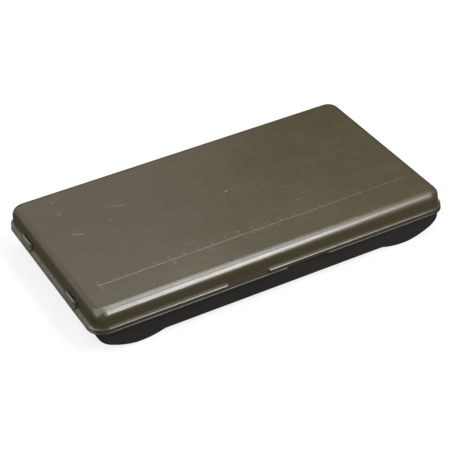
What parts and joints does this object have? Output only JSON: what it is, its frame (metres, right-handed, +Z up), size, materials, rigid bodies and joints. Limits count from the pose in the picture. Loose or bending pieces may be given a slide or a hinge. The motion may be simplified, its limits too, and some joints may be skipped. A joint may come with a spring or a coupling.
{
  "type": "fishing rig box",
  "caption": "Slim hinged fishing rig box with a rolled-edge lid, side flap clips, end pods and removable foam boards with hook strips and loop pins.",
  "frame": {"origin": "bottom centre of the bounding box, on the surface that the box stands on", "axes": "+X along the long side, to the right when the thumb recesses face the viewer; +Y from the recesses to the hinges; +Z up"},
  "size_m": [0.26, 0.1508, 0.0334],
  "materials": {
    "lid_plastic": "satin olive moulded plastic",
    "base_plastic": "dark moulded plastic",
    "clip_plastic": "satin olive moulded plastic",
    "board_plastic": "dark moulded plastic",
    "pin_steel": "plain steel wire",
    "foam": "closed-cell foam",
    "magnet": "bonded magnet strip"
  },
  "bodies": {
    "base": {"base_tray": "base_plastic", "hinge_pin_left": "pin_steel", "hinge_pin_right": "pin_steel", "rig_board_front": "board_plastic", "foam_pad_front": "foam", "hook_magnet_front": "magnet", "loop_pins_front": "pin_steel", "rig_board_rear": "board_plastic", "foam_pad_rear": "foam", "hook_magnet_rear": "magnet", "loop_pins_rear": "pin_steel"},
    "lid_body": {"lid": "lid_plastic", "clip_pin_left_front": "pin_steel", "clip_pin_left_rear": "pin_steel", "clip_pin_right_front": "pin_steel", "clip_pin_right_rear": "pin_steel"},
    "clip_left_front": {"side_clip_left_front": "clip_plastic"},
    "clip_left_rear": {"side_clip_left_rear": "clip_plastic"},
    "clip_right_front": {"side_clip_right_front": "clip_plastic"},
    "clip_right_rear": {"side_clip_right_rear": "clip_plastic"}
  },
  "joints": [
    {"name": "lid_hinge", "type": "hinge", "parent": "base", "child": "lid_body", "pos_m": [0, 0.0732, 0.0188], "axis": [-1, 0, 0], "range_deg": [0, 180]},
    {"name": "clip_left_front_flap", "type": "hinge", "parent": "lid_body", "child": "clip_left_front", "pos_m": [-0.12885, -0.0384, 0.0252], "axis": [0, 1, 0], "range_deg": [0, 110]},
    {"name": "clip_left_rear_flap", "type": "hinge", "parent": "lid_body", "child": "clip_left_rear", "pos_m": [-0.12885, 0.0336, 0.0252], "axis": [0, 1, 0], "range_deg": [0, 110]},
    {"name": "clip_right_front_flap", "type": "hinge", "parent": "lid_body", "child": "clip_right_front", "pos_m": [0.12885, -0.0384, 0.0252], "axis": [0, -1, 0], "range_deg": [0, 110]},
    {"name": "clip_right_rear_flap", "type": "hinge", "parent": "lid_body", "child": "clip_right_rear", "pos_m": [0.12885, 0.0336, 0.0252], "axis": [0, -1, 0], "range_deg": [0, 110]}
  ]
}
